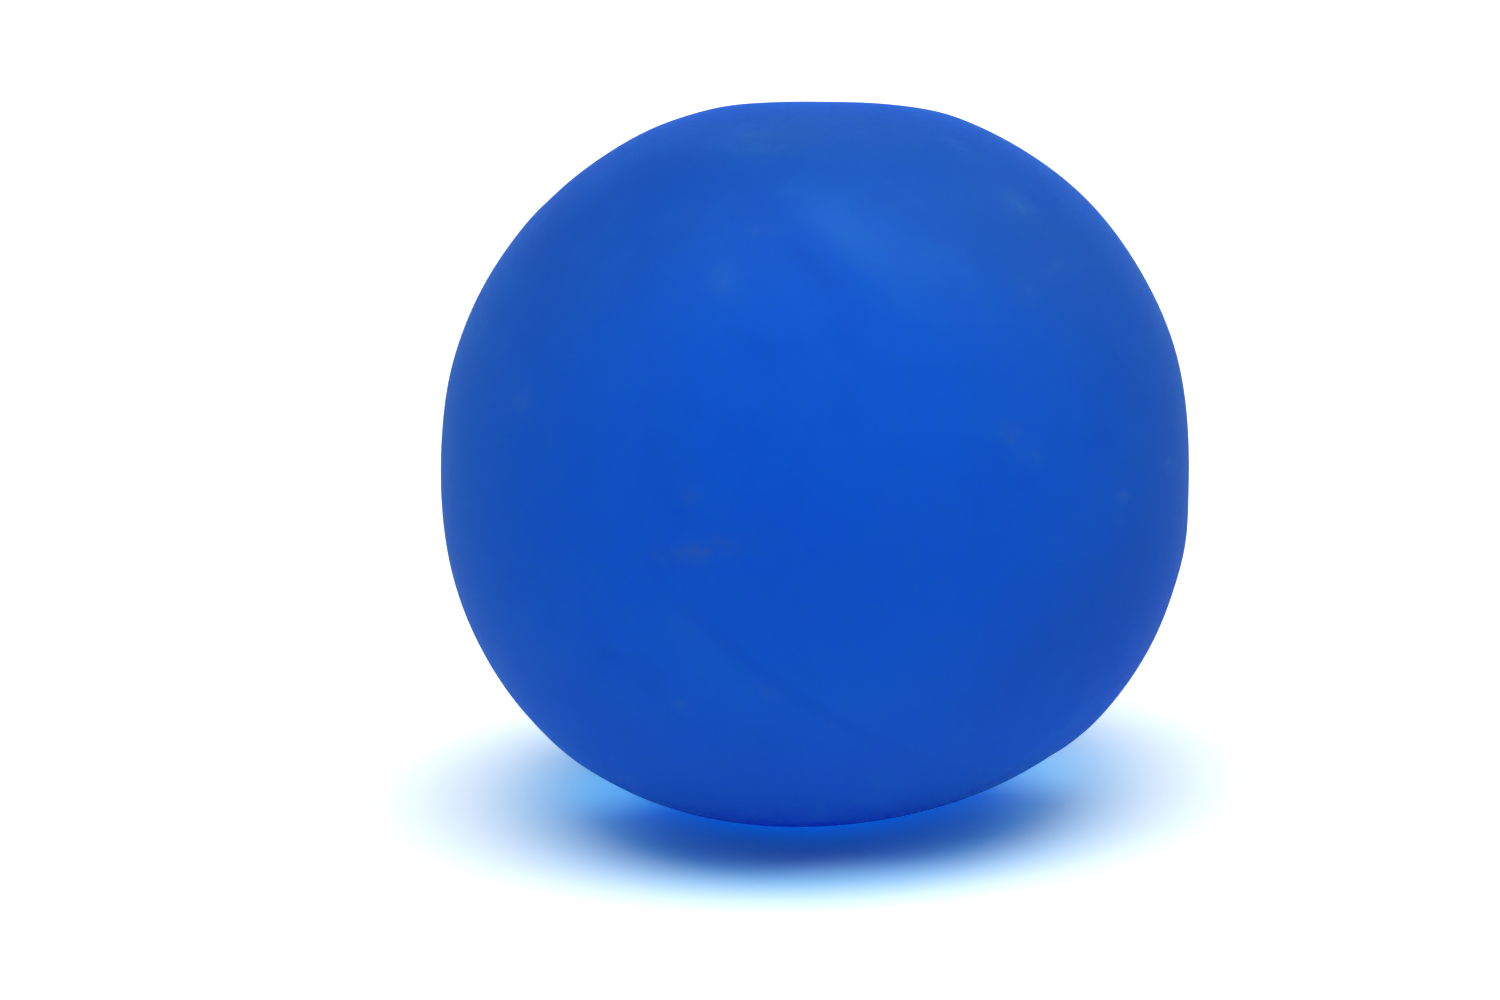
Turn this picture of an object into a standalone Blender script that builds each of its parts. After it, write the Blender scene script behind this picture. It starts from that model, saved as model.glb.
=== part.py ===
"""A soft hand exercise ball: a moulded rubber skin, a gel core in it, and its fill port's plug.

Metres, +Z up. The origin is on the flat that the ball rests on, under the ball's centre, and the
ball is seen from the front along +Y. Every piece hangs on one empty at the ball's centre.
"""

import math

import bmesh
import bpy
from mathutils import Matrix, Vector

# The ball: round, but pressed a little flat where its box held it and where it sags on the table.
# A face distance is measured from the ball's centre. Higher crispness gives a face a sharper rim.
BALL_DIAMETER = 0.050
TOP_FACE_DISTANCE = 0.02345
TOP_FACE_TILT = math.radians(1.0)
TOP_FACE_CRISPNESS = 36.0
BASE_FACE_DISTANCE = 0.0253
BASE_FACE_TILT = math.radians(4.5)
BASE_FACE_CRISPNESS = 7.0
LEFT_FACE_DISTANCE = 0.0260
LEFT_FACE_TILT = math.radians(2.5)
RIGHT_FACE_DISTANCE = 0.02545
RIGHT_FACE_TILT = math.radians(-3.5)
SIDE_FACE_CRISPNESS = 25.0
REST_FLAT_DEPTH = 0.0004

# The skin, and the line that the two halves of its mould leave around it.
SKIN_WALL = 0.0025
PARTING_LINE_TILT = math.radians(45.0)
PARTING_LINE_AZIMUTH = math.radians(-25.0)
PARTING_RIDGE_WIDTH = 0.0007
PARTING_RIDGE_HEIGHT = 0.00012

# The fill port: a bore through a boss inside the skin, with a seat for the plug's head.
PORT_BORE = 0.0050
PORT_BOSS_WALL = 0.0035
PORT_BOSS_HEIGHT = 0.0018
PORT_BOSS_DRAFT = 0.0006
PORT_BOSS_CHAMFER = 0.0004

# The plug: a head that lies flush with the ball, a stem, and a barb that holds behind the boss.
PLUG_HEAD_OVERHANG = 0.0022
PLUG_HEAD_THICKNESS = 0.0014
PLUG_BARB_OVERHANG = 0.0009
PLUG_BARB_LENGTH = 0.0026
PLUG_TIP_DIAMETER = 0.0030

# Gap between two pieces that touch on the real ball.
FIT_GAP = 0.0003
# How far a cutter runs past the surface that it cuts.
CUT_MARGIN = 0.0015

# Facets around and from pole to pole.
SKIN_SEGMENTS = 72
SKIN_RINGS = 34
CAVITY_SEGMENTS = 48
CAVITY_RINGS = 24
TURNED_SEGMENTS = 32
# Turned pieces start off the ball's facet lines, so that no cutter's edge lies along one of them.
TURNED_START = math.radians(2.6)

# Each pressed face: the direction square to it, its distance and its crispness.
PRESSED_FACES = (
    (
        Vector((math.sin(TOP_FACE_TILT), 0, math.cos(TOP_FACE_TILT))),
        TOP_FACE_DISTANCE,
        TOP_FACE_CRISPNESS,
    ),
    (
        Vector((math.sin(BASE_FACE_TILT), 0, -math.cos(BASE_FACE_TILT))),
        BASE_FACE_DISTANCE,
        BASE_FACE_CRISPNESS,
    ),
    (
        Vector((-math.cos(LEFT_FACE_TILT), 0, math.sin(LEFT_FACE_TILT))),
        LEFT_FACE_DISTANCE,
        SIDE_FACE_CRISPNESS,
    ),
    (
        Vector((math.cos(RIGHT_FACE_TILT), 0, math.sin(RIGHT_FACE_TILT))),
        RIGHT_FACE_DISTANCE,
        SIDE_FACE_CRISPNESS,
    ),
)

# The mould's frame has Z square to the parting line, and Y, at the back, through the fill port.
PARTING_LINE_TURN = Matrix.Rotation(PARTING_LINE_AZIMUTH, 3, "Z")
MOULD_FRAME = PARTING_LINE_TURN @ Matrix.Rotation(PARTING_LINE_TILT, 3, "Y")
# The port's frame has Z along the port, outward.
PORT_FRAME = MOULD_FRAME @ Matrix.Rotation(math.radians(-90), 3, "X")


def ball_reach(direction):
    """Distance from the ball's centre to its surface: a sphere blended with its pressed faces."""
    reach = BALL_DIAMETER / 2
    for normal, distance, crispness in PRESSED_FACES:
        toward_face = max(direction.dot(normal), 0.0) / distance
        reach = (reach**-crispness + toward_face**crispness) ** (-1 / crispness)
    return reach


CENTRE_HEIGHT = ball_reach(Vector((0, 0, -1))) - REST_FLAT_DEPTH

# Distances from the ball's centre along the port's axis.
PORT_FACE = ball_reach(PORT_FRAME @ Vector((0, 0, 1)))
HEAD_UNDERSIDE = PORT_FACE - PLUG_HEAD_THICKNESS
BOSS_FACE = PORT_FACE - SKIN_WALL - PORT_BOSS_HEIGHT
BARB_SHOULDER = BOSS_FACE - FIT_GAP
BARB_TIP = BARB_SHOULDER - PLUG_BARB_LENGTH
BARB_RADIUS = PORT_BORE / 2 + PLUG_BARB_OVERHANG
HEAD_RADIUS = PORT_BORE / 2 + PLUG_HEAD_OVERHANG


def turned(bm, profile, segments, start=0.0):
    """Turn an outline of (radius, height) points about Z, from the start angle, and close it."""
    across, along = math.cos(start), math.sin(start)
    points = [bm.verts.new((radius * across, radius * along, z)) for radius, z in profile]
    lines = [bm.edges.new(pair) for pair in zip(points, points[1:])]
    bmesh.ops.spin(
        bm, geom=points + lines, axis=(0, 0, 1), cent=(0, 0, 0), angle=math.tau, steps=segments
    )
    bmesh.ops.remove_doubles(bm, verts=bm.verts, dist=1e-5)
    bmesh.ops.recalc_face_normals(bm, faces=bm.faces)


def add_object(name, bm, parent, frame=None):
    """Put a finished surface into the scene, at the ball's centre, turned into the given frame."""
    mesh = bpy.data.meshes.new(name)
    bm.to_mesh(mesh)
    bm.free()
    mesh.shade_smooth()
    mesh.set_sharp_from_angle(angle=math.radians(30))
    obj = bpy.data.objects.new(name, mesh)
    bpy.context.scene.collection.objects.link(obj)
    obj.parent = parent
    if frame:
        obj.rotation_euler = frame.to_euler()
    return obj


def add_ball(name, parent, inset, frame, rings, segments, ridge_height=0.0):
    """A ball that lies an inset below the skin's surface, with its poles on the frame's Z axis."""
    latitudes = [math.pi * (i / rings - 0.5) for i in range(rings + 1)]
    if ridge_height:
        half_ridge = PARTING_RIDGE_WIDTH / BALL_DIAMETER
        latitudes = sorted(latitudes + [-half_ridge, half_ridge])
    bm = bmesh.new()
    turned(bm, [(math.cos(angle), math.sin(angle)) for angle in latitudes], segments)
    for vert in bm.verts:
        on_parting_line = abs(vert.co.z) < 1e-6
        direction = (frame @ vert.co).normalized()
        vert.co = direction * (ball_reach(direction) - inset + ridge_height * on_parting_line)
    bm.normal_update()
    rest_flat = inset - CENTRE_HEIGHT
    bmesh.ops.bisect_plane(
        bm,
        geom=bm.verts[:] + bm.edges[:] + bm.faces[:],
        dist=1e-6,
        plane_co=(0, 0, rest_flat),
        plane_no=(0, 0, -1),
        clear_outer=True,
    )
    rim = [edge for edge in bm.edges if edge.is_boundary]
    for vert in {vert for edge in rim for vert in edge.verts}:
        vert.co.z = rest_flat
    bmesh.ops.holes_fill(bm, edges=rim, sides=0)
    return add_object(name, bm, parent)


def add_turned(name, parent, profile):
    """A turned solid on the port's axis."""
    bm = bmesh.new()
    turned(bm, profile, TURNED_SEGMENTS, TURNED_START)
    return add_object(name, bm, parent, PORT_FRAME)


def as_cutter(obj):
    obj.hide_render = True
    obj.display_type = "WIRE"
    return obj


def cut(obj, cutter, operation="DIFFERENCE"):
    boolean = obj.modifiers.new(cutter.name, "BOOLEAN")
    boolean.operation = operation
    boolean.object = cutter


def boss_profile(grow):
    """The boss inside the skin, grown on all sides, from its inner face out into the wall."""
    radius = PORT_BORE / 2 + PORT_BOSS_WALL + grow
    face = BOSS_FACE - grow
    return [
        (0, PORT_FACE - SKIN_WALL + CUT_MARGIN),
        (radius + PORT_BOSS_DRAFT, PORT_FACE - SKIN_WALL + CUT_MARGIN),
        (radius, face + PORT_BOSS_CHAMFER),
        (radius - PORT_BOSS_CHAMFER, face),
        (0, face),
    ]


def rubber(name, colour, roughness):
    material = bpy.data.materials.new(name)
    material.use_nodes = True
    shader = material.node_tree.nodes["Principled BSDF"]
    shader.inputs["Base Color"].default_value = (*colour, 1.0)
    shader.inputs["Roughness"].default_value = roughness
    shader.inputs["Metallic"].default_value = 0.0
    return material


def build_skin(parent):
    skin = add_ball(
        "skin", parent, 0.0, MOULD_FRAME, SKIN_RINGS, SKIN_SEGMENTS, PARTING_RIDGE_HEIGHT
    )
    cavity = as_cutter(
        add_ball("cavity", parent, SKIN_WALL, PORT_FRAME, CAVITY_RINGS, CAVITY_SEGMENTS)
    )
    boss = as_cutter(add_turned("port_boss", parent, boss_profile(0.0)))
    cut(cavity, boss)
    seat = HEAD_UNDERSIDE - FIT_GAP
    seat_radius = HEAD_RADIUS + FIT_GAP
    port = as_cutter(
        add_turned(
            "port",
            parent,
            [
                (0, PORT_FACE + CUT_MARGIN),
                (seat_radius, PORT_FACE + CUT_MARGIN),
                (seat_radius, seat),
                (PORT_BORE / 2, seat),
                (PORT_BORE / 2, BOSS_FACE - CUT_MARGIN),
                (0, BOSS_FACE - CUT_MARGIN),
            ],
        )
    )
    cut(skin, cavity)
    cut(skin, port)
    skin.data.materials.append(rubber("frosted_blue_rubber", (0.008, 0.088, 0.565), 0.55))


def build_gel_core(parent):
    inset = SKIN_WALL + FIT_GAP
    core = add_ball("gel_core", parent, inset, PORT_FRAME, CAVITY_RINGS, CAVITY_SEGMENTS)
    boss_relief = as_cutter(add_turned("boss_relief", parent, boss_profile(FIT_GAP)))
    relief_radius = BARB_RADIUS + FIT_GAP
    plug_relief = as_cutter(
        add_turned(
            "plug_relief",
            parent,
            [
                (0, BOSS_FACE + CUT_MARGIN),
                (relief_radius, BOSS_FACE + CUT_MARGIN),
                (relief_radius, BARB_SHOULDER - FIT_GAP),
                (PLUG_TIP_DIAMETER / 2 + FIT_GAP, BARB_TIP - FIT_GAP),
                (0, BARB_TIP - FIT_GAP),
            ],
        )
    )
    cut(core, boss_relief)
    cut(core, plug_relief)
    core.data.materials.append(rubber("cloudy_blue_gel", (0.010, 0.105, 0.600), 0.30))


def build_fill_plug(parent):
    stem_radius = PORT_BORE / 2 - FIT_GAP
    plug = add_turned(
        "fill_plug",
        parent,
        [
            (0, PORT_FACE + CUT_MARGIN),
            (HEAD_RADIUS, PORT_FACE + CUT_MARGIN),
            (HEAD_RADIUS, HEAD_UNDERSIDE),
            (stem_radius, HEAD_UNDERSIDE),
            (stem_radius, BARB_SHOULDER),
            (BARB_RADIUS, BARB_SHOULDER),
            (PLUG_TIP_DIAMETER / 2, BARB_TIP),
            (0, BARB_TIP),
        ],
    )
    ball_form = as_cutter(
        add_ball("ball_form", parent, 0.0, PORT_FRAME, CAVITY_RINGS, CAVITY_SEGMENTS)
    )
    cut(plug, ball_form, "INTERSECT")
    plug.data.materials.append(rubber("blue_plug_rubber", (0.007, 0.078, 0.520), 0.50))


for old in list(bpy.data.objects):
    bpy.data.objects.remove(old, do_unlink=True)

centre = bpy.data.objects.new("ball_centre", None)
centre.location = (0, 0, CENTRE_HEIGHT)
bpy.context.scene.collection.objects.link(centre)

build_skin(centre)
build_gel_core(centre)
build_fill_plug(centre)
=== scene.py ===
"""The looks of a soft hand exercise ball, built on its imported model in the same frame, in metres."""

import math

import bpy
import numpy as np
from mathutils import Matrix, Vector, noise


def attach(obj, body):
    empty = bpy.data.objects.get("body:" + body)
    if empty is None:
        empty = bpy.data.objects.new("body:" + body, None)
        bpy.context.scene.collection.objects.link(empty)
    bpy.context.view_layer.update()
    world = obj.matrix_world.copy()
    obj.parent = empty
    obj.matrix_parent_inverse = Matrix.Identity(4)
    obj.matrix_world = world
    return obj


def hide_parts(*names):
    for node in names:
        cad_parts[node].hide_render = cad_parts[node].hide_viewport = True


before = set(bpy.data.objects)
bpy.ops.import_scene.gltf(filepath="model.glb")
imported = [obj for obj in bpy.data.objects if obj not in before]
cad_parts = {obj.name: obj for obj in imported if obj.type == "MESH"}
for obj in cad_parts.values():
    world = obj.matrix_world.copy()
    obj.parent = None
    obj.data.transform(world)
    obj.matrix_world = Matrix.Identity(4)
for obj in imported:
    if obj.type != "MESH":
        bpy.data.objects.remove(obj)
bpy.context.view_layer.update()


# THE SKIN
# A shell of soft blue rubber, moulded in two halves with a frosted finish and filled with gel. The
# halves leave a fine line around it. Its box and its own weight have pressed it a little flat on top,
# on both sides and underneath.
MM = 0.001
BALL_RADIUS = 0.025
SKIN_WALL = 0.0025
REST_FLAT_DEPTH = 0.0004
TOP_TILT = math.radians(1.0)
BASE_TILT = math.radians(4.5)
LEFT_TILT = math.radians(2.5)
RIGHT_TILT = math.radians(-3.5)
# Each pressed face: the direction square to it, its distance from the ball's centre, and how crisp
# its rim is.
PRESSED_FACES = (
    ((math.sin(TOP_TILT), 0, math.cos(TOP_TILT)), 0.02345, 36.0),
    ((math.sin(BASE_TILT), 0, -math.cos(BASE_TILT)), 0.0253, 7.0),
    ((-math.cos(LEFT_TILT), 0, math.sin(LEFT_TILT)), 0.0260, 25.0),
    ((math.cos(RIGHT_TILT), 0, math.sin(RIGHT_TILT)), 0.02545, 25.0),
)

# The mould's frame has Z square to the parting line. The port's frame has Z along the fill port,
# which lies on that line at the back.
PARTING_LINE_TILT = math.radians(45.0)
PARTING_LINE_AZIMUTH = math.radians(-25.0)
mould_turn = Matrix.Rotation(PARTING_LINE_AZIMUTH, 3, "Z")
mould_frame = mould_turn @ Matrix.Rotation(PARTING_LINE_TILT, 3, "Y")
mould_sideways = np.array(mould_frame.col[0])
parting_normal = np.array(mould_frame.col[2])
port_frame = np.array(mould_frame @ Matrix.Rotation(math.radians(-90), 3, "X"))
port_axis = port_frame[:, 2]


def ball_reach(directions):
    """Distance from the ball's centre to its surface: a sphere blended with its pressed faces."""
    reach = np.full(directions.shape[:-1], BALL_RADIUS)
    for normal, distance, crispness in PRESSED_FACES:
        toward_face = np.maximum(directions @ np.array(normal), 0.0) / distance
        reach = (reach**-crispness + toward_face**crispness) ** (-1 / crispness)
    return reach


CENTRE_HEIGHT = float(ball_reach(np.array((0.0, 0.0, -1.0)))) - REST_FLAT_DEPTH
centre = np.array((0.0, 0.0, CENTRE_HEIGHT))


def port_directions(polar, around):
    """Directions from the ball's centre, by their angle from the port's axis and around it."""
    local = np.stack(
        (np.sin(polar) * np.cos(around), np.sin(polar) * np.sin(around), np.cos(polar)), axis=-1
    )
    return local @ port_frame.T


def turned_point(radius, height, around):
    """Points by their distance from the port's axis, their height along it and their angle."""
    radius, height = np.broadcast_arrays(radius + 0.0 * around, height + 0.0 * around)
    local = np.stack((radius * np.cos(around), radius * np.sin(around), height), axis=-1)
    return local @ port_frame.T


def polar_at_radius(radius, around, inset):
    """The angle from the port's axis at which the ball, below an inset, is that far from the axis."""
    rounds_to_settle = 6
    polar = np.full(around.shape, math.asin(radius / BALL_RADIUS))
    for _ in range(rounds_to_settle):
        polar = np.arcsin(radius / (ball_reach(port_directions(polar, around)) - inset))
    return polar


SHARP_EDGE = math.radians(40)


def rings_to_mesh(name, rings, first_point=None, last_point=None):
    """A surface through rings of points about the ball's centre, closed by a point at either end."""
    rings = np.asarray(rings)
    count, around = rings.shape[:2]
    points = [rings.reshape(-1, 3)]
    faces = []
    for row in range(count - 1):
        for column in range(around):
            beside = (column + 1) % around
            faces.append(
                (
                    row * around + column,
                    row * around + beside,
                    (row + 1) * around + beside,
                    (row + 1) * around + column,
                )
            )
    end = count * around
    for tip, row, flip in ((first_point, 0, True), (last_point, count - 1, False)):
        if tip is None:
            continue
        points.append(np.array(tip).reshape(1, 3))
        for column in range(around):
            pair = (row * around + column, row * around + (column + 1) % around)
            faces.append((*(reversed(pair) if flip else pair), end))
        end += 1
    mesh = bpy.data.meshes.new(name)
    mesh.from_pydata((np.concatenate(points) + centre).tolist(), [], faces)
    mesh.shade_smooth()
    mesh.set_sharp_from_angle(angle=SHARP_EDGE)
    piece = bpy.data.objects.new(name, mesh)
    bpy.context.scene.collection.objects.link(piece)
    return piece


def rest_on_flat(points, inset):
    """Sag onto the flat that the ball rests on."""
    points[..., 2] = np.maximum(points[..., 2], inset - CENTRE_HEIGHT)
    return points


# The line between the mould's halves: the halves met a little out of line sideways, and a low ridge of
# rubber runs along the line.
HALVES_SHIFT = 0.00008
STEP_WIDTH = 0.00140
STEP_FADE = 0.006
RIDGE_HEIGHT = 0.00001
RIDGE_WIDTH = 0.00050


def parting_relief(directions, points):
    """How far the parting line's step and ridge lift the surface."""
    from_line = points @ parting_normal
    sideways = directions @ mould_sideways
    step = HALVES_SHIFT / 2 * sideways * np.tanh(from_line / (STEP_WIDTH / 2))
    ridge = RIDGE_HEIGHT * np.exp(-((from_line / (RIDGE_WIDTH / 2)) ** 2))
    return step * np.exp(-((from_line / STEP_FADE) ** 2)) + ridge


# Slight swellings and hollows left by handling, as marks on the ball. Each mark has its azimuth from
# the front and its elevation in degrees, its half length and half width in mm, its turn in degrees
# and its strength, which is its height in mm here.
SWELLINGS = (
    (87, -13, 2.6, 8.0, 75, 0.16),
    (94, 15, 4.0, 8.0, 74, 0.04),
    (104, 41, 4.8, 8.0, 70, 0.15),
    (124, 64, 2.2, 8.0, 53, 0.08),
    (165, 74, 2.8, 8.0, 15, -0.09),
    (-141, 71, 2.4, 8.0, -38, 0.11),
    (-113, 56, 3.6, 8.0, -63, -0.08),
    (-102, 37, 3.0, 8.0, -71, -0.04),
    (-94, 15, 3.0, 8.0, -74, 0.05),
    (-86, -15, 7.0, 8.0, -74, 0.05),
    (-80, -34, 3.0, 8.0, -72, 0.05),
    (-74, -45, 2.5, 8.0, -69, 0.09),
    (75, -44, 2.5, 8.0, 69, 0.07),
)
# A mark ends two thirds of the way round to the far side.
MARK_END = math.cos(math.radians(120))
NEVER_ZERO = 1e-9


def marks_on_ball(directions, marks):
    """The sum of soft oval marks, at each direction from the ball's centre."""
    directions = directions / np.linalg.norm(directions, axis=1)[:, None]
    total = np.zeros(len(directions))
    for azimuth, elevation, half_length, half_width, turn, strength in marks:
        azimuth, elevation, turn = (math.radians(angle) for angle in (azimuth, elevation, turn))
        east = np.array((math.cos(azimuth), math.sin(azimuth), 0.0))
        south = np.array((math.sin(azimuth), -math.cos(azimuth), 0.0))
        outward = south * math.cos(elevation) + np.array((0.0, 0.0, math.sin(elevation)))
        north = np.cross(outward, east)
        toward = np.clip(directions @ outward, -1.0, 1.0)
        # Lengths are measured along the ball's surface.
        arc_for_chord = np.arccos(toward) / np.maximum(np.sqrt(1 - toward**2), NEVER_ZERO)
        surface_mm = arc_for_chord * BALL_RADIUS / MM
        along = directions @ (east * math.cos(turn) + north * math.sin(turn)) * surface_mm
        across = directions @ (north * math.cos(turn) - east * math.sin(turn)) * surface_mm
        oval = np.exp(-((along / half_length) ** 2) - (across / half_width) ** 2)
        total += strength * oval * (toward > MARK_END)
    return total


# The fill port: a seat for the plug's head, and a bore through a boss inside the skin.
FIT_GAP = 0.0003
PORT_BORE = 0.0050
PORT_BOSS_WALL = 0.0035
PORT_BOSS_HEIGHT = 0.0018
PORT_BOSS_CHAMFER = 0.0004
PORT_LIP_ROUND = 0.0002
SEAT_EDGE = 0.0001
PLUG_HEAD_OVERHANG = 0.0022
PLUG_HEAD_THICKNESS = 0.0014
PLUG_HEAD_RADIUS = PORT_BORE / 2 + PLUG_HEAD_OVERHANG
PORT_FACE = float(ball_reach(port_axis))
BOSS_FACE = PORT_FACE - SKIN_WALL - PORT_BOSS_HEIGHT
PORT_SEAT = PORT_FACE - PLUG_HEAD_THICKNESS - FIT_GAP
seat_radius = PLUG_HEAD_RADIUS + FIT_GAP
lip_radius = seat_radius + PORT_LIP_ROUND

# Lines of points run from the far pole to the port, close together beside the parting line. On small
# rings they draw in.
LINES_BESIDE_PARTING = np.array((0.0, 0.07, 0.14, 0.22, 0.32, 0.46, 0.66, 0.95)) * MM
LINES_BETWEEN = 156
LINES_DRAW_IN_RADIUS = 0.0035
LINES_WIDEST_SINE = 0.3
SMALLEST_RING = 1e-6
RINGS = 176


def skin_lines(ring_radius):
    """Angles around the port's axis of the lines of points, on a ring of that radius."""
    squeeze = min(1.0, ring_radius / LINES_DRAW_IN_RADIUS)
    sines = LINES_BESIDE_PARTING * squeeze / max(ring_radius, SMALLEST_RING)
    beside = np.arcsin(np.minimum(sines, LINES_WIDEST_SINE))
    half = np.concatenate(
        (
            beside,
            np.linspace(beside[-1], math.pi - beside[-1], LINES_BETWEEN + 2)[1:-1],
            math.pi - beside[::-1],
        )
    )
    return np.concatenate((half[:-1], half[:-1] + math.pi))


rings = []
polar_rim = polar_at_radius(lip_radius, skin_lines(lip_radius), 0.0)
for share in np.linspace(0.0, 1.0, RINGS)[1:]:
    middle = math.pi * (1 - share) + polar_rim.mean() * share
    around = skin_lines(BALL_RADIUS * math.sin(middle))
    direction = port_directions(math.pi * (1 - share) + polar_rim * share, around)
    surface = direction * ball_reach(direction)[:, None]
    lift = parting_relief(direction, surface) + marks_on_ball(direction, SWELLINGS) * MM
    rings.append(rest_on_flat(surface + direction * lift[:, None], 0.0))
rim_height = rings[-1] @ port_axis
around = skin_lines(lip_radius)
for turn in np.radians((30, 60, 90)):
    radius = seat_radius + PORT_LIP_ROUND * (1 - math.sin(turn))
    height = rim_height - PORT_LIP_ROUND * (1 - math.cos(turn))
    rings.append(turned_point(radius, height, around))
for radius, height in (
    (seat_radius, PORT_SEAT + SEAT_EDGE),
    (seat_radius - SEAT_EDGE, PORT_SEAT),
    (PORT_BORE / 2 + SEAT_EDGE, PORT_SEAT),
    (PORT_BORE / 2, PORT_SEAT - SEAT_EDGE),
    (PORT_BORE / 2, BOSS_FACE),
):
    rings.append(turned_point(radius, height, around))
far_pole = -port_axis * float(ball_reach(-port_axis))
skin = rings_to_mesh("rubber_skin", rings, first_point=far_pole)

# The skin's inner face: the boss around the bore, then the wall round to the far side.
PORT_BOSS_RADIUS = PORT_BORE / 2 + PORT_BOSS_WALL
PORT_BOSS_FLARE = 0.0003
INSIDE_LINE_COUNT = 96
INSIDE_LINES = np.linspace(0.0, math.tau, INSIDE_LINE_COUNT, endpoint=False)
INSIDE_RINGS = 72


def inside_rings(inset, port_radius):
    """The ball's form an inset below its surface, from near the far pole to a ring at the port."""
    polar_port = polar_at_radius(port_radius, INSIDE_LINES, inset)
    inside = []
    for share in np.linspace(0.0, 1.0, INSIDE_RINGS)[1:]:
        direction = port_directions(math.pi * (1 - share) + polar_port * share, INSIDE_LINES)
        inside.append(rest_on_flat(direction * (ball_reach(direction) - inset)[:, None], inset))
    return inside


def turned_rings(outline):
    """Rings about the port's axis through an outline of (radius, height) points."""
    return [turned_point(radius, height, INSIDE_LINES) for radius, height in outline]


boss = turned_rings(
    (
        (PORT_BORE / 2, BOSS_FACE),
        (PORT_BOSS_RADIUS - PORT_BOSS_CHAMFER, BOSS_FACE),
        (PORT_BOSS_RADIUS, BOSS_FACE + PORT_BOSS_CHAMFER),
    )
)
wall = inside_rings(SKIN_WALL, PORT_BOSS_RADIUS + PORT_BOSS_FLARE)
far_wall = -port_axis * (float(ball_reach(-port_axis)) - SKIN_WALL)
lining = rings_to_mesh("skin_inner_face", boss + wall[::-1], last_point=far_wall)

# Marks for painted light and shade, and for the rubber's own marks. Broad zones are painted a brighter
# blue where the ball is more lit, in front, behind and low down, and a deeper blue where it is in
# shade, on top and at the sides. Zones painted a purer blue on the lower part stand in for the blue
# light that reaches it from below, and a painted lighter underside stands in for light beneath the
# ball. Then come milky and clear swirls in it, and a thin haze and flakes of pale dry bloom on it
# where it has been handled; the haze on the lower flanks is painted sheen. Below zero, a lit zone is
# painted shade and a swirl is clear.
LIGHT_AND_SHADE_ZONES = (
    (0, -2, 20.0, 18.5, 0, 1.0),
    (180, -2, 20.0, 18.5, 0, 1.0),
    (0, 90, 14.5, 10.2, 0, -1.1),
    (-72, 50, 9.0, 8.0, 0, -0.6),
    (72, 48, 9.0, 8.0, 0, -0.6),
    (84, -6, 10.0, 15.0, 0, -0.6),
    (60, -34, 10.0, 9.0, 0, -0.7),
    (-84, -30, 8.0, 9.0, 0, -0.3),
    (-46, -32, 7.0, 6.0, 0, -0.35),
    (40, -22, 10.0, 8.0, 0, -0.35),
    (6, 42, 12.0, 7.0, 0, 0.15),
    (-55, 74, 6.0, 5.0, 0, -0.4),
    (-128, 62, 6.0, 5.0, 0, -0.6),
    (78, -38, 6.0, 6.0, 0, -0.4),
    (0, -78, 13.0, 6.0, 0, 1.2),
    (180, -78, 13.0, 6.0, 0, 1.2),
)
BLUE_LIGHT_BELOW_ZONES = (
    (0, -46, 24.0, 11.4, 0, 0.9),
    (180, -46, 24.0, 11.4, 0, 0.9),
)
UNDERSIDE_LIGHT_ZONE = ((0, -90, 8.0, 8.0, 0, 1.0),)
SWIRLS = (
    (8, 52, 4.8, 2.6, -46, 0.75),
    (24, 44, 2.4, 2.5, -9, 0.3),
    (2, 46, 5.2, 1.9, -50, -0.85),
    (-5, 33, 3.6, 1.6, 0, -0.45),
    (-16, 44, 1.7, 1.9, 2, 0.6),
    (9, 46, 12.0, 6.8, -4, 0.25),
    (-32, -18, 9.0, 2.2, -34, -0.35),
    (-17, -14, 5.4, 2.1, -42, 0.5),
    (60, 23, 5.1, 4.5, -13, -0.4),
    (57, 39, 2.4, 0.9, 7, 0.2),
    (57, 54, 3.1, 3.1, -17, 0.15),
    (118, 30, 6.0, 2.2, 28, 0.7),
    (150, -8, 7.5, 2.4, -30, -0.6),
    (-112, 36, 6.5, 2.6, -20, 0.6),
    (-140, 5, 5.0, 1.8, 42, -0.6),
    (-165, 42, 7.0, 3.0, 12, 0.5),
    (100, -20, 6.0, 2.0, -45, -0.5),
    (-100, -12, 5.0, 2.0, 35, 0.4),
    (175, -32, 6.0, 2.6, 18, 0.4),
    (30, 80, 5.0, 2.2, 60, -0.6),
)
HAZE_AND_SHEEN_ZONES = (
    (8, 52, 11.0, 6.0, 0, 0.6),
    (50, 46, 8.0, 7.0, 0, 0.9),
    (5, -17, 22.0, 9.2, 0, 0.4),
    (-172, 46, 12.0, 6.0, 0, 0.6),
    (178, -17, 22.0, 9.2, 0, 0.4),
    # These last two, on the lower flanks, are painted sheen rather than bloom.
    (-81, -31, 6.0, 9.0, 0, 0.7),
    (86, -12, 6.0, 9.0, 0, 0.6),
)
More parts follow.
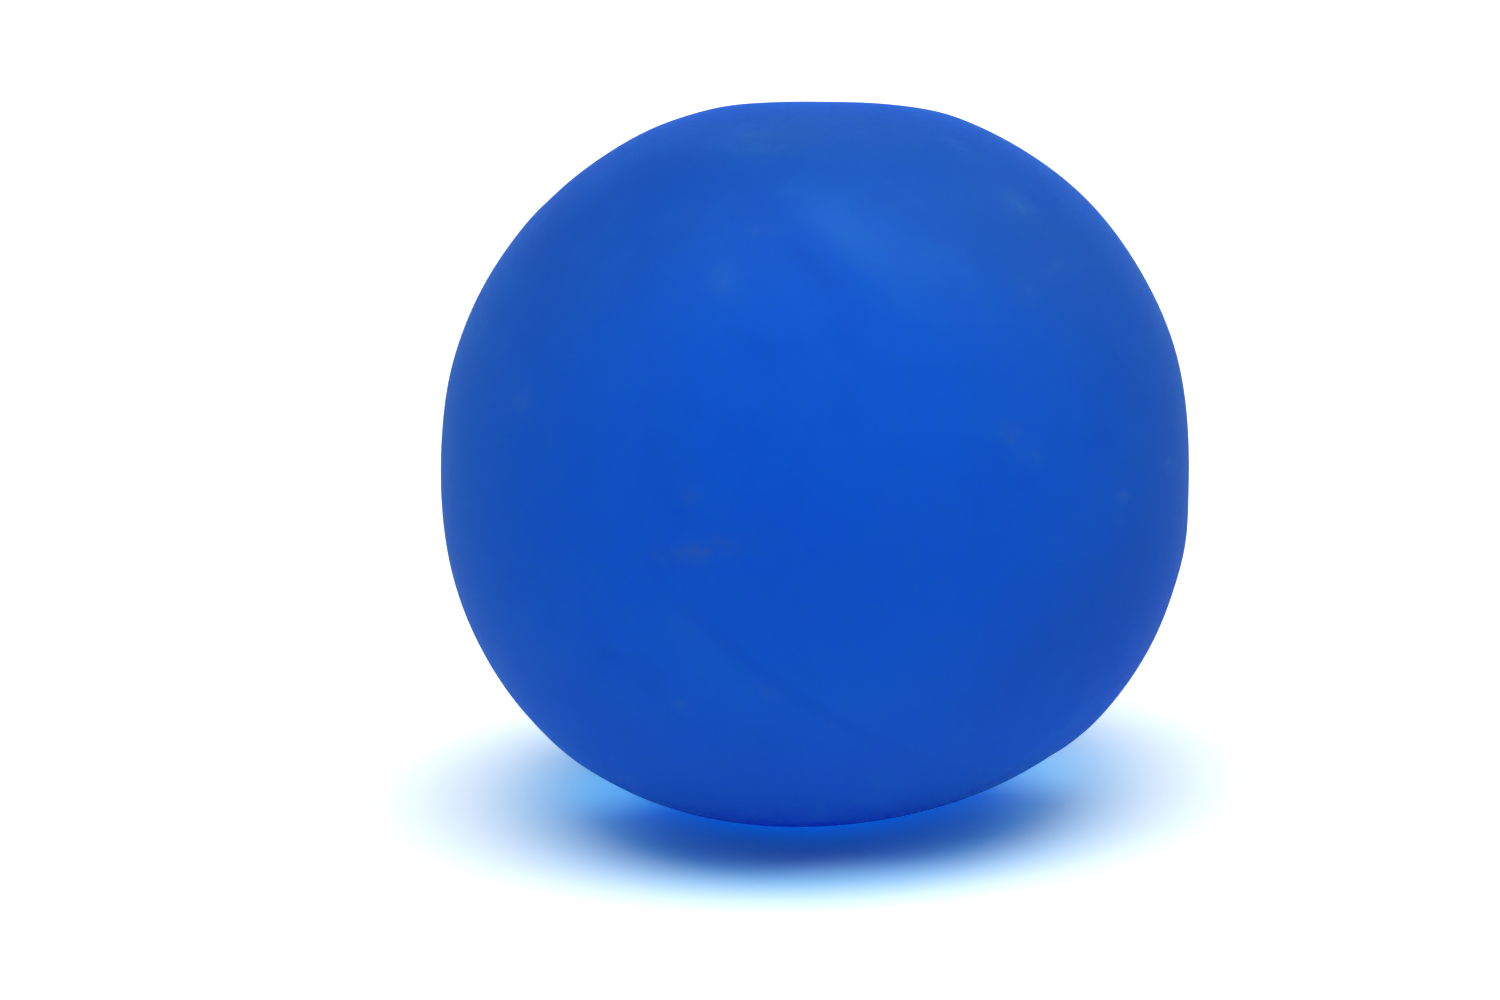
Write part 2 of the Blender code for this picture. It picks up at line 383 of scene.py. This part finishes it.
BLOOM_MARKS = (
    (-18, 3, 2.8, 0.8, 12, 1.5),
    (-19, 11, 0.7, 0.6, 3, 1.1),
    (-21, 13, 0.4, 0.3, 4, 0.5),
    (31, 17, 1.1, 0.7, -9, 1.4),
    (34, 13, 0.9, 0.6, -10, 1.0),
    (-18, 43, 1.1, 0.8, 26, 0.9),
    (-14, 40, 0.4, 0.4, 1, 0.6),
    (58, 50, 1.2, 1.1, -16, 1.1),
    (43, 37, 0.8, 0.7, -12, 0.8),
    (54, 39, 1.4, 0.6, 9, 0.9),
    (-53, 21, 1.2, 0.9, 10, 1.0),
    (66, 5, 0.7, 0.4, -14, 1.5),
    (51, 4, 0.7, 0.4, -13, 1.3),
    (50, 1, 0.4, 0.4, -13, 1.0),
    (-23, -22, 0.5, 0.4, 6, 1.4),
    (-9, -19, 1.0, 0.7, -24, 0.7),
    (-17, 72, 1.7, 1.2, -7, 0.4),
    (66, 64, 0.7, 1.5, -27, 0.5),
    (-11, 52, 1.0, 0.5, 1, 0.8),
    (18, -3, 0.8, 0.7, -7, 0.3),
    (96, 14, 1.6, 0.6, 22, 0.8),
    (122, -6, 0.7, 0.6, -10, 0.7),
    (138, 33, 1.2, 0.5, -28, 0.7),
    (176, 12, 2.0, 0.6, 8, 0.8),
    (-158, -4, 0.8, 0.6, 30, 0.7),
    (-128, 20, 1.4, 0.5, -16, 0.8),
    (-96, -2, 0.9, 0.6, 12, 0.7),
    (-88, 40, 0.7, 0.6, -40, 0.5),
    (-40, 78, 1.5, 0.7, 35, 0.5),
    (150, 66, 1.3, 0.6, -20, 0.6),
)
# The edges of swirls, haze and flakes wander.
WANDER_WAVES = 4.0
SWIRL_WANDER = 0.045
FLAKE_WANDER = 0.006
# The rubber around the port differs from the rest as far as this from the seat.
PORT_SURROUND = 0.004
# The parting line shows over part of its round, and is a trace on the rest.
LINE_HALF_WIDTH = 0.00055
LINE_SHOWS_AT = math.radians(34)
LINE_SHOWS_OVER = math.radians(30)
LINE_TRACE = 0.03


def point_values(piece, name, values):
    """Keep one number at each point of a piece, for its material."""
    layer = piece.data.attributes.new(name, "FLOAT", "POINT")
    layer.data.foreach_set("value", values.astype(np.float32))


places = np.array([point.co for point in skin.data.vertices]) - centre
outward = places / np.linalg.norm(places, axis=1)[:, None]
wander = np.array([noise.noise_vector(Vector(direction) * WANDER_WAVES) for direction in outward])
for name, marks, wandering in (
    ("painted_light_and_shade", LIGHT_AND_SHADE_ZONES, 0.0),
    ("painted_blue_light_below", BLUE_LIGHT_BELOW_ZONES, 0.0),
    ("painted_underside_light", UNDERSIDE_LIGHT_ZONE, 0.0),
    ("swirl", SWIRLS, SWIRL_WANDER),
    ("haze_and_sheen", HAZE_AND_SHEEN_ZONES, SWIRL_WANDER),
    ("bloom", BLOOM_MARKS, FLAKE_WANDER),
):
    point_values(skin, name, marks_on_ball(outward + wander * wandering, marks))
from_seat = np.linalg.norm(np.cross(places, port_axis), axis=1) - seat_radius
around_port = np.exp(-((np.maximum(from_seat, 0.0) / PORT_SURROUND) ** 2))
point_values(skin, "port", around_port * (places @ port_axis > 0))
line_angle = np.arctan2(places @ mould_sideways, places @ -port_axis)
line_shows = np.exp(-(((line_angle - LINE_SHOWS_AT) / LINE_SHOWS_OVER) ** 4))
line_seen = LINE_TRACE + (1 - LINE_TRACE) * line_shows
across_line = (places @ parting_normal) / LINE_HALF_WIDTH
point_values(skin, "parting", line_seen * np.exp(-(across_line**2)))


def new_material(name):
    """A new material, with its node tree and its shader."""
    material = bpy.data.materials.new(name)
    material.use_nodes = True
    return material, material.node_tree, material.node_tree.nodes["Principled BSDF"]


def set_inputs(node, values):
    for name, value in values.items():
        node.inputs[name].default_value = value


def point_value(tree, name):
    """The numbers that a piece keeps at its points."""
    value = tree.nodes.new("ShaderNodeAttribute")
    value.attribute_name = name
    return value.outputs["Fac"]


def noise_value(tree, waves, detail, distortion=0.0):
    """A noise through the piece, with that many waves to a metre."""
    place = tree.nodes.new("ShaderNodeTexCoord")
    grain = tree.nodes.new("ShaderNodeTexNoise")
    set_inputs(grain, {"Scale": waves, "Detail": detail, "Distortion": distortion})
    tree.links.new(place.outputs["Object"], grain.inputs["Vector"])
    return grain.outputs["Fac"]


def calculate(tree, operation, first, second):
    """One step of arithmetic on two numbers or sockets."""
    step = tree.nodes.new("ShaderNodeMath")
    step.operation = operation
    for socket, value in zip(step.inputs, (first, second)):
        if isinstance(value, (int, float)):
            socket.default_value = value
        else:
            tree.links.new(value, socket)
    return step.outputs[0]


def spread(tree, value, from_range, to_range):
    """Map a range of numbers smoothly onto another."""
    step = tree.nodes.new("ShaderNodeMapRange")
    step.interpolation_type = "SMOOTHSTEP"
    names = ("From Min", "From Max", "To Min", "To Max")
    set_inputs(step, dict(zip(names, (*from_range, *to_range))))
    tree.links.new(value, step.inputs["Value"])
    return step.outputs["Result"]


def blended(tree, share, first, second):
    """Two colours or colour sockets, blended by a share."""
    mix = tree.nodes.new("ShaderNodeMix")
    mix.data_type = "RGBA"
    tree.links.new(share, mix.inputs["Factor"])
    for socket, colour in zip((mix.inputs["A"], mix.inputs["B"]), (first, second)):
        if isinstance(colour, tuple):
            socket.default_value = (*colour, 1.0)
        else:
            tree.links.new(colour, socket)
    return mix.outputs["Result"]


def add_relief(tree, shader, height, strength, depth):
    """Fine relief on the surface, by a height."""
    relief = tree.nodes.new("ShaderNodeBump")
    set_inputs(relief, {"Strength": strength, "Distance": depth})
    tree.links.new(height, relief.inputs["Height"])
    tree.links.new(relief.outputs["Normal"], shader.inputs["Normal"])


# Most of a noise lies in this range.
NOISE_RANGE = (0.3, 0.7)
FROST_WAVES = 2600


def frosted(tree, shader, roughness_range):
    """The grain that a frosted mould leaves: an uneven roughness and a low relief."""
    frost = noise_value(tree, waves=FROST_WAVES, detail=2)
    roughness = spread(tree, frost, NOISE_RANGE, roughness_range)
    tree.links.new(roughness, shader.inputs["Roughness"])
    add_relief(tree, shader, frost, strength=0.25, depth=0.00002)


# Frosted blue rubber: light gets in and comes out again some way off, blue much further than the
# rest, and the dry surface has almost no gloss.
# The deep and bright blues are painted shade and painted light on the rubber's own blue; the purer
# blue and the underside blue are painted light from below, and the bloom blue also paints sheen on the
# lower flanks.
SHADED_BLUE = (0.0060, 0.078, 0.355)
RUBBER_BLUE = (0.0085, 0.108, 0.465)
LIT_BLUE = (0.0060, 0.158, 0.715)
BLUE_LIGHT_BELOW = (0.0090, 0.091, 0.620)
UNDERSIDE_LIT_BLUE = (0.0100, 0.400, 0.950)
MILKY_BLUE = (0.0200, 0.190, 0.600)
CLEAR_BLUE = (0.0030, 0.080, 0.440)
BLOOM_AND_SHEEN_BLUE = (0.0420, 0.195, 0.450)
PORT_BLUE = (0.0060, 0.130, 0.860)
PARTING_BLUE = (0.0030, 0.070, 0.420)
MILKY_SHARE = 0.6
CLEAR_SHARE = 0.7
FULL_SWIRL = 1.2
HAZE_AND_SHEEN_SHARE = 0.18
BLOOM_SHARE = 0.35
PARTING_SHARE = 0.15
LIGHT_REACH = 0.001
LIGHT_REACH_AT_PORT = 0.0002
rubber, tree, shader = new_material("frosted_blue_rubber")
set_inputs(
    shader,
    {
        "Specular IOR Level": 0.015,
        "Sheen Weight": 0.02,
        "Sheen Roughness": 0.5,
        "Sheen Tint": (0.7, 1.0, 0.6, 1.0),
        "Subsurface Weight": 1.0,
        "Subsurface Radius": (1.2, 8.0, 100.0),
    },
)
frosted(tree, shader, roughness_range=(0.64, 0.76))

# Painted light and shade: the rubber is painted a brighter blue where the ball is lit more and a
# deeper blue where it lies in shade.
zones = tree.nodes.new("ShaderNodeValToRGB")
lit_share = spread(tree, point_value(tree, "painted_light_and_shade"), (-1.0, 1.0), (0.0, 1.0))
tree.links.new(lit_share, zones.inputs["Fac"])
zones.color_ramp.elements.new(0.5)
for stop, blue in zip(zones.color_ramp.elements, (SHADED_BLUE, RUBBER_BLUE, LIT_BLUE)):
    stop.color = (*blue, 1.0)
# Painted light: a purer blue on the lower part stands in for the blue light that reaches it from
# below.
painted_blue_light_below = spread(tree, point_value(tree, "painted_blue_light_below"), (0.0, 1.0), (0.0, 1.0))
colour = blended(tree, painted_blue_light_below, zones.outputs["Color"], BLUE_LIGHT_BELOW)
# Painted light: the underside is painted lighter, in place of the shade it lies in beneath the ball.
colour = blended(tree, point_value(tree, "painted_underside_light"), colour, UNDERSIDE_LIT_BLUE)

stirring = noise_value(tree, waves=70, detail=3, distortion=1.2)
stirred = spread(tree, stirring, NOISE_RANGE, (-0.25, 0.25))
mottling = noise_value(tree, waves=420, detail=2)
mottled = spread(tree, mottling, NOISE_RANGE, (-0.10, 0.10))
swirl = calculate(tree, "ADD", point_value(tree, "swirl"), stirred)
swirl = calculate(tree, "ADD", swirl, mottled)
milky = spread(tree, swirl, (0.0, FULL_SWIRL), (0.0, MILKY_SHARE))
unstirred = calculate(tree, "MULTIPLY", swirl, -1.0)
clear = spread(tree, unstirred, (0.0, FULL_SWIRL), (0.0, CLEAR_SHARE))
colour = blended(tree, milky, colour, MILKY_BLUE)
colour = blended(tree, clear, colour, CLEAR_BLUE)

# A thin haze of pale bloom, which on the lower flanks is painted sheen.
haze_and_sheen = calculate(tree, "MULTIPLY", point_value(tree, "haze_and_sheen"), HAZE_AND_SHEEN_SHARE)
colour = blended(tree, haze_and_sheen, colour, BLOOM_AND_SHEEN_BLUE)
flaky = spread(tree, noise_value(tree, waves=1000, detail=3), NOISE_RANGE, (0.25, 1.0))
bloom = calculate(tree, "MULTIPLY", point_value(tree, "bloom"), flaky)
bloom = calculate(tree, "MULTIPLY", bloom, BLOOM_SHARE)
colour = blended(tree, bloom, colour, BLOOM_AND_SHEEN_BLUE)
parting = calculate(tree, "MULTIPLY", point_value(tree, "parting"), PARTING_SHARE)
colour = blended(tree, parting, colour, PARTING_BLUE)

# Around the port the rubber is thin, and light goes no further in it than its wall.
near_port = point_value(tree, "port")
colour = blended(tree, near_port, colour, PORT_BLUE)
reach = spread(tree, near_port, (0.0, 1.0), (LIGHT_REACH, LIGHT_REACH_AT_PORT))
tree.links.new(reach, shader.inputs["Subsurface Scale"])
tree.links.new(colour, shader.inputs["Base Color"])

# The lamps shine through the ball as through coloured jelly: blue alone through its thick middle,
# which gathers light as a lens does, and more of every colour nearer its thin edge.
LIGHT_THROUGH = (
    (0.00, (0.000, 0.125, 0.510)),
    (0.25, (0.000, 0.000, 0.000)),
    (0.50, (0.180, 0.505, 0.830)),
    (0.75, (0.420, 0.980, 0.940)),
    (1.00, (1.000, 1.000, 1.000)),
)
# On its way the light is gathered by the ball's rear flanks, and turned aside by its front ones.
GATHERING_MARKS = (
    (-102, -54, 6.5, 5.0, 0, 1.0),
    (106, -51, 6.8, 5.2, 0, 1.0),
    (-44, -52, 7.0, 5.5, 0, -0.7),
    (47, -55, 7.0, 5.5, 0, -0.6),
    (6, -44, 7.0, 4.5, 0, 0.35),
    (-62, -14, 9.0, 9.0, 0, 0.25),
    (82, -12, 9.0, 9.0, 0, 0.25),
)
GATHERED_LIGHT = (1.0, 1.0, 1.0)
TURNED_ASIDE = (0.0, 0.16, 0.33)
point_values(skin, "gathering", marks_on_ball(outward, GATHERING_MARKS))
slant = tree.nodes.new("ShaderNodeLayerWeight")
set_inputs(slant, {"Blend": 0.5})
depth = tree.nodes.new("ShaderNodeValToRGB")
stops = depth.color_ramp.elements
for place, light in LIGHT_THROUGH:
    stop = stops[-int(place)] if place in (0.0, 1.0) else stops.new(place)
    # A ray crosses the skin twice.
    stop.color = (*(math.sqrt(share) for share in light), 1.0)
tree.links.new(slant.outputs["Facing"], depth.inputs["Fac"])
gathered = point_value(tree, "gathering")
turned_aside = calculate(tree, "MULTIPLY", gathered, -1.0)
passed = blended(tree, gathered, depth.outputs["Color"], GATHERED_LIGHT)
passed = blended(tree, turned_aside, passed, TURNED_ASIDE)
jelly = tree.nodes.new("ShaderNodeBsdfTransparent")
tree.links.new(passed, jelly.inputs["Color"])
ray = tree.nodes.new("ShaderNodeLightPath")
lit_through = tree.nodes.new("ShaderNodeMixShader")
tree.links.new(ray.outputs["Is Shadow Ray"], lit_through.inputs["Fac"])
tree.links.new(shader.outputs["BSDF"], lit_through.inputs[1])
tree.links.new(jelly.outputs["BSDF"], lit_through.inputs[2])
tree.links.new(lit_through.outputs["Shader"], tree.nodes["Material Output"].inputs["Surface"])
for face in (skin, lining):
    face.data.materials.append(rubber)
    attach(face, "root")
    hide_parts("skin")
lining.visible_shadow = False


# THE GEL CORE
# Soft cloudy blue gel, poured into the skin through the port, where it sets. It fills the skin, and
# leaves room for the boss and for the plug's barb.
PLUG_BARB_OVERHANG = 0.0009
PLUG_BARB_RADIUS = PORT_BORE / 2 + PLUG_BARB_OVERHANG
PLUG_BARB_LENGTH = 0.0026
PLUG_TIP_RADIUS = 0.0015
BARB_SHOULDER = BOSS_FACE - FIT_GAP
BARB_TIP = BARB_SHOULDER - PLUG_BARB_LENGTH
gel_inset = SKIN_WALL + FIT_GAP
hollow_radius = PORT_BOSS_RADIUS + FIT_GAP
hollow_face = BOSS_FACE - FIT_GAP
hollow = turned_rings(
    (
        (hollow_radius, hollow_face + PORT_BOSS_CHAMFER),
        (hollow_radius - PORT_BOSS_CHAMFER, hollow_face),
        (PLUG_BARB_RADIUS + FIT_GAP, hollow_face),
        (PLUG_BARB_RADIUS + FIT_GAP, BARB_SHOULDER - FIT_GAP),
        (PLUG_TIP_RADIUS + FIT_GAP, BARB_TIP - FIT_GAP),
    )
)
gel = rings_to_mesh(
    "gel_filling",
    inside_rings(gel_inset, hollow_radius + PORT_BOSS_FLARE) + hollow,
    first_point=-port_axis * (float(ball_reach(-port_axis)) - gel_inset),
    last_point=port_axis * (BARB_TIP - FIT_GAP),
)

# Clouds of paler gel, and fine bubbles at its face.
GEL_BLUE = (0.006, 0.085, 0.540)
CLOUD_BLUE = (0.016, 0.135, 0.660)
CLOUD_EDGES = (0.35, 0.65)
cloudy_gel, tree, shader = new_material("cloudy_blue_gel")
set_inputs(
    shader,
    {
        "Roughness": 0.30,
        "Subsurface Weight": 1.0,
        "Subsurface Scale": LIGHT_REACH,
        "Subsurface Radius": (1.0, 8.0, 60.0),
    },
)
drifting = noise_value(tree, waves=120, detail=4, distortion=1.5)
clouds = spread(tree, drifting, CLOUD_EDGES, (0.0, 1.0))
tree.links.new(blended(tree, clouds, GEL_BLUE, CLOUD_BLUE), shader.inputs["Base Color"])
bubbles = noise_value(tree, waves=1500, detail=2)
add_relief(tree, shader, bubbles, strength=0.3, depth=0.00005)
gel.data.materials.append(cloudy_gel)
gel.visible_shadow = False
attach(gel, "root")
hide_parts("gel_core")


# THE FILL PLUG
# A stopper of firmer blue rubber, moulded in one piece. Its barb snaps through the bore and holds
# behind the boss, and its head lies flush in the seat, curved like the ball.
STEM_RADIUS = PORT_BORE / 2 - FIT_GAP
HEAD_UNDERSIDE = PORT_FACE - PLUG_HEAD_THICKNESS
PLUG_EDGE = 0.00015
HEAD_EDGE_ROUND = 0.00025
HEAD_RINGS = 16
stopper = turned_rings(
    (
        (PLUG_TIP_RADIUS - PLUG_EDGE, BARB_TIP),
        (PLUG_TIP_RADIUS, BARB_TIP + PLUG_EDGE),
        (PLUG_BARB_RADIUS, BARB_SHOULDER - PLUG_EDGE),
        (PLUG_BARB_RADIUS - PLUG_EDGE, BARB_SHOULDER),
        (STEM_RADIUS, BARB_SHOULDER),
        (STEM_RADIUS, HEAD_UNDERSIDE),
        (PLUG_HEAD_RADIUS - PLUG_EDGE, HEAD_UNDERSIDE),
        (PLUG_HEAD_RADIUS, HEAD_UNDERSIDE + PLUG_EDGE),
    )
)
edge_radius = PLUG_HEAD_RADIUS - HEAD_EDGE_ROUND
polar_edge = polar_at_radius(edge_radius, INSIDE_LINES, 0.0)
direction = port_directions(polar_edge, INSIDE_LINES)
edge_height = (direction * ball_reach(direction)[:, None]) @ port_axis
for turn in np.radians((0, 30, 60)):
    radius = edge_radius + HEAD_EDGE_ROUND * math.cos(turn)
    height = edge_height - HEAD_EDGE_ROUND * (1 - math.sin(turn))
    stopper.append(turned_point(radius, height, INSIDE_LINES))
for share in np.linspace(1.0, 0.0, HEAD_RINGS)[:-1]:
    direction = port_directions(polar_edge * share, INSIDE_LINES)
    stopper.append(direction * ball_reach(direction)[:, None])
plug = rings_to_mesh(
    "port_stopper", stopper, first_point=port_axis * BARB_TIP, last_point=port_axis * PORT_FACE
)

# Firm rubber: light goes in it a short way only, and its blue is a little patchy.
FIRM_BLUE = (0.004, 0.115, 0.760)
PATCH_BLUE = (0.008, 0.140, 0.880)
firm_rubber, tree, shader = new_material("firm_blue_rubber")
set_inputs(
    shader,
    {
        "Specular IOR Level": 0.05,
        "Subsurface Weight": 1.0,
        "Subsurface Scale": LIGHT_REACH,
        "Subsurface Radius": (0.3, 1.0, 2.5),
    },
)
patchy = spread(tree, noise_value(tree, waves=700, detail=3), NOISE_RANGE, (0.0, 1.0))
tree.links.new(blended(tree, patchy, FIRM_BLUE, PATCH_BLUE), shader.inputs["Base Color"])
frosted(tree, shader, roughness_range=(0.55, 0.68))
plug.data.materials.append(firm_rubber)
plug.visible_shadow = False
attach(plug, "root")
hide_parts("fill_plug")


# THE FLOOR, THE LIGHT AND THE CAMERA
# A plain white table top, larger than the view. Three wide soft lamps side by side overhead light the
# ball as one long lamp would, and the camera looks at it from a little above.
FLOOR_SIZE = 6.0
FLOOR_WHITE = 0.95
FLOOR_WHITE_SEEN = 1.41
bpy.ops.mesh.primitive_plane_add(size=FLOOR_SIZE)
floor = bpy.context.object
floor.name = "table_top"
white, tree, shader = new_material("white_table")
set_inputs(shader, {"Roughness": 0.9, "Specular IOR Level": 0.0})


def seen_level(tree, unseen, seen):
    """One level for light that falls on things, and another where the eye or a reflection looks."""
    ray = tree.nodes.new("ShaderNodeLightPath")
    looks = calculate(tree, "MAXIMUM", ray.outputs["Is Camera Ray"], ray.outputs["Is Glossy Ray"])
    looks = calculate(tree, "MAXIMUM", looks, ray.outputs["Is Transmission Ray"])
    level = tree.nodes.new("ShaderNodeMapRange")
    set_inputs(level, {"To Min": unseen, "To Max": seen})
    tree.links.new(looks, level.inputs["Value"])
    return level.outputs["Result"]


tree.links.new(seen_level(tree, FLOOR_WHITE, FLOOR_WHITE_SEEN), shader.inputs["Base Color"])
floor.data.materials.append(white)

# Each lamp has its level and its lean to the side in degrees, and is aimed a little toward the back.
LAMPS = (("left_lamp", 0.315, -15.1), ("middle_lamp", 0.310, 2.7), ("right_lamp", 0.315, 20.6))
LAMP_WIDTH = math.radians(32)
LAMP_AIM_BACK = math.radians(3.2)
for name, level, lean in LAMPS:
    lamp = bpy.data.lights.new(name, "SUN")
    lamp.energy = level * math.pi
    lamp.angle = LAMP_WIDTH
    stand = bpy.data.objects.new(name, lamp)
    stand.rotation_euler = (LAMP_AIM_BACK, math.radians(lean), 0)
    bpy.context.scene.collection.objects.link(stand)

ROOM_LEVEL = 0.03
WHITE_LEVEL = 1.0
world = bpy.context.scene.world or bpy.data.worlds.new("studio")
bpy.context.scene.world = world
world.use_nodes = True
tree = world.node_tree
background = tree.nodes["Background"]
set_inputs(background, {"Color": (1.0, 1.0, 1.0, 1.0)})
tree.links.new(seen_level(tree, ROOM_LEVEL, WHITE_LEVEL), background.inputs["Strength"])

# The camera stands above the ball's middle and is rolled a little, and it is aimed so that the ball
# sits right of and above the middle of the frame.
PHOTO_WIDTH, PHOTO_HEIGHT = 1500, 1000
BALL_PIXEL = (815.74, 468.79)
FOCAL_PIXELS = 6064
CAMERA_DISTANCE = 0.4
CAMERA_RISE = math.radians(15)
CAMERA_ROLL = math.radians(-2)
SENSOR_WIDTH_MM = 36
NEAREST_SEEN = 0.01
toward = Vector((0, -math.cos(CAMERA_RISE), math.sin(CAMERA_RISE)))
level_right = Vector((1, 0, 0))
level_up = Vector((0, math.sin(CAMERA_RISE), math.cos(CAMERA_RISE)))
right = level_right * math.cos(CAMERA_ROLL) + level_up * math.sin(CAMERA_ROLL)
up = level_up * math.cos(CAMERA_ROLL) - level_right * math.sin(CAMERA_ROLL)
facing = Matrix((right, up, toward)).transposed()
aim_left = math.atan((BALL_PIXEL[0] - PHOTO_WIDTH / 2) / FOCAL_PIXELS)
aim_down = math.atan((PHOTO_HEIGHT / 2 - BALL_PIXEL[1]) / FOCAL_PIXELS)
aim = facing @ Matrix.Rotation(aim_left, 3, "Y") @ Matrix.Rotation(-aim_down, 3, "X")
lens = bpy.data.cameras.new("camera")
lens.sensor_width = SENSOR_WIDTH_MM
lens.lens = SENSOR_WIDTH_MM * FOCAL_PIXELS / PHOTO_WIDTH
lens.clip_start = NEAREST_SEEN
camera = bpy.data.objects.new("camera", lens)
camera.matrix_world = Matrix.Translation(Vector(centre) + CAMERA_DISTANCE * toward) @ aim.to_4x4()
bpy.context.scene.collection.objects.link(camera)
bpy.context.scene.camera = camera

bpy.context.scene.view_settings.view_transform = "Standard"
